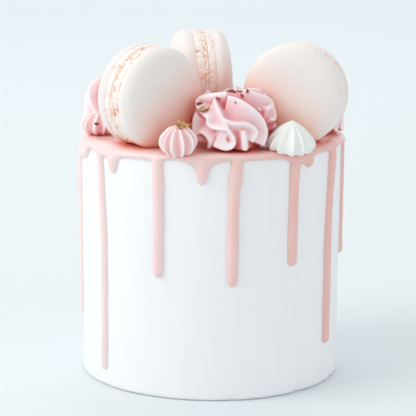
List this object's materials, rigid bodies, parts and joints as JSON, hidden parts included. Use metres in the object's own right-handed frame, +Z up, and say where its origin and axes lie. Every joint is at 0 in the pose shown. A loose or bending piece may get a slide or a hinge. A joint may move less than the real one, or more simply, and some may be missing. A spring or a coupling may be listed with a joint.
{
  "type": "lychee rose cake",
  "caption": "Tall round layer cake in a smooth white coat, with a drip glaze running down its side, macarons standing on edge, piped rosettes and kisses, and dried petal flakes on top.",
  "frame": {"origin": "centre of the cake's flat underside, on the surface that it stands on", "axes": "+Z up, -Y towards the front with the front rosette and the white meringue kiss, +X to the right seen from the front"},
  "size_m": [0.1318, 0.1354, 0.1667],
  "materials": {
    "white_buttercream": "smooth white buttercream, satin",
    "glaze": "pink poured glaze, soft gloss",
    "macaron_shell": "baked almond meringue shell, matt",
    "macaron_filling": "peach cream filling, satin",
    "star_kiss": "pink piped cream, satin",
    "meringue": "white dried meringue, matt",
    "pink_buttercream": "pink piped buttercream with dried petal flakes, satin"
  },
  "bodies": {
    "root": {"cake": "white_buttercream", "drip_glaze": "glaze", "macaron_left_front_shell": "macaron_shell", "macaron_left_filling": "macaron_filling", "macaron_left_back_shell": "macaron_shell", "macaron_right_front_shell": "macaron_shell", "macaron_right_filling": "macaron_filling", "macaron_right_back_shell": "macaron_shell", "macaron_back_front_shell": "macaron_shell", "macaron_back_filling": "macaron_filling", "macaron_back_back_shell": "macaron_shell", "star_kiss_front": "star_kiss", "star_kiss_left": "star_kiss", "meringue_kiss": "meringue", "rosette_front": "pink_buttercream", "rosette_left": "pink_buttercream", "rosette_back": "pink_buttercream", "rosette_right": "pink_buttercream"}
  },
  "joints": []
}
